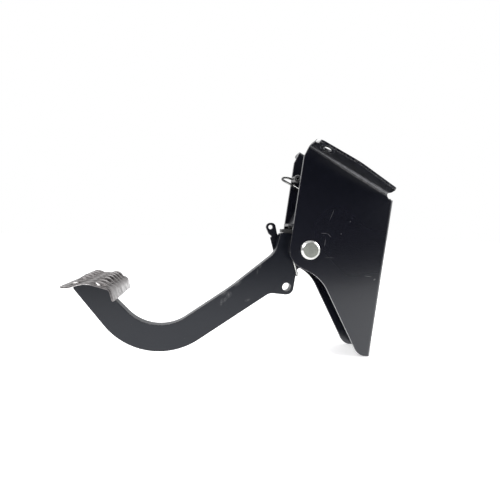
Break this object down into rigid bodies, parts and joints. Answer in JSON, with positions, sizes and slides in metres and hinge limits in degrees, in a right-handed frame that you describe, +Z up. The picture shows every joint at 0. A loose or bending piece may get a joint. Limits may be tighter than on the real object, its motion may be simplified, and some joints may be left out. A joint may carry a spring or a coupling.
{
  "type": "rear brake pedal",
  "caption": "Foot pedal on a folded sheet bracket: a curved plate arm with a ridged pad turns on a pin, held up by a torsion spring against a stop.",
  "frame": {"origin": "on the floor under the middle of the whole pedal's box", "axes": "+X from the foot pad to the bracket, +Y away from the cheek that holds the pin's head, +Z up as the pedal stands in the picture"},
  "size_m": [0.299, 0.0678, 0.1977],
  "materials": {
    "bracket_black": "gloss",
    "arm_satin_black": "satin",
    "zinc_plate": "satin",
    "bright_wire": "bright",
    "bare_pad_steel": "satin",
    "bumper_rubber": "matte",
    "bush_nylon": "matte"
  },
  "bodies": {
    "bracket": {"bracket": "bracket_black", "stop_bridge": "bracket_black", "stop_bumper": "bumper_rubber", "guide_stud": "zinc_plate", "guide_loop": "bright_wire", "pivot_pin": "zinc_plate", "pin_washer": "zinc_plate", "pin_clip": "bright_wire", "return_spring": "bright_wire"},
    "pedal": {"hub_tube": "arm_satin_black", "near_bush": "bush_nylon", "far_bush": "bush_nylon", "pedal_arm": "arm_satin_black", "stop_block": "arm_satin_black", "switch_tab": "bracket_black", "foot_pad": "bare_pad_steel"}
  },
  "joints": [
    {"name": "pedal_pivot", "type": "hinge", "parent": "bracket", "child": "pedal", "pos_m": [0.07022, 0, 0.1], "axis": [0, -1, 0], "range_deg": [0, 18], "stiffness_Nm_per_rad": 1.5, "springref_deg": -34.38, "deforming": ["return_spring"]}
  ]
}
